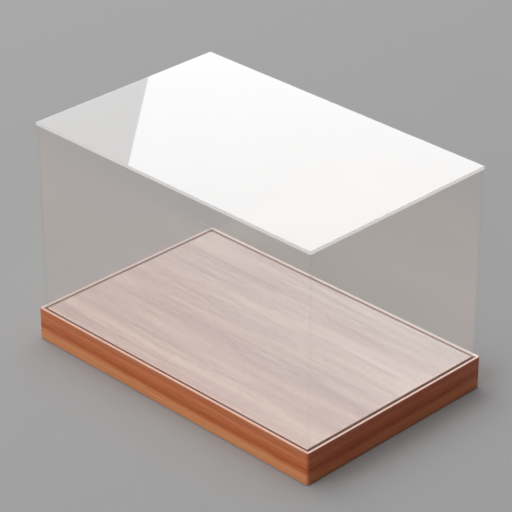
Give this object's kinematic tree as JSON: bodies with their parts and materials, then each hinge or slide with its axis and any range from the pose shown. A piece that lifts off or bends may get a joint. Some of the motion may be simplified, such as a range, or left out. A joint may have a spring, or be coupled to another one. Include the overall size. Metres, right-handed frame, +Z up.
{
  "type": "acrylic display case",
  "caption": "Clear box-shaped acrylic cover that lifts off a low wooden plinth; its walls stand in a groove round the deck inside.",
  "frame": {"origin": "on the table, under the middle of the plinth", "axes": "+X along the length, +Y from the front to the back, +Z up, the way the cover lifts off"},
  "size_m": [0.34, 0.22, 0.22],
  "materials": {
    "clear_acrylic": "clear, polished",
    "cherry_rail": "satin varnish",
    "cherry_deck": "satin varnish",
    "plywood": "raw",
    "inner_wood": "raw",
    "rubber": "matte",
    "zinc_steel": "zinc plated"
  },
  "bodies": {
    "base": {"front_rail": "cherry_rail", "back_rail": "cherry_rail", "left_rail": "cherry_rail", "right_rail": "cherry_rail", "deck_panel": "cherry_deck", "bottom_panel": "plywood", "mitre_spline_front_left": "inner_wood", "mitre_spline_front_right": "inner_wood", "mitre_spline_back_left": "inner_wood", "mitre_spline_back_right": "inner_wood", "corner_block_front_left": "inner_wood", "corner_block_front_right": "inner_wood", "corner_block_back_left": "inner_wood", "corner_block_back_right": "inner_wood", "deck_bearer_left": "inner_wood", "deck_bearer_right": "inner_wood", "foot_front_left": "rubber", "foot_front_right": "rubber", "foot_back_left": "rubber", "foot_back_right": "rubber", "bottom_panel_screws": "zinc_steel", "bearer_screws": "zinc_steel", "foot_screws": "zinc_steel"},
    "cover": {"top_panel": "clear_acrylic", "front_wall": "clear_acrylic", "back_wall": "clear_acrylic", "left_wall": "clear_acrylic", "right_wall": "clear_acrylic"}
  },
  "joints": [
    {"name": "cover_lift", "type": "slide", "parent": "base", "child": "cover", "axis": [0, 0, 1], "range_m": [0, 0.22]}
  ]
}
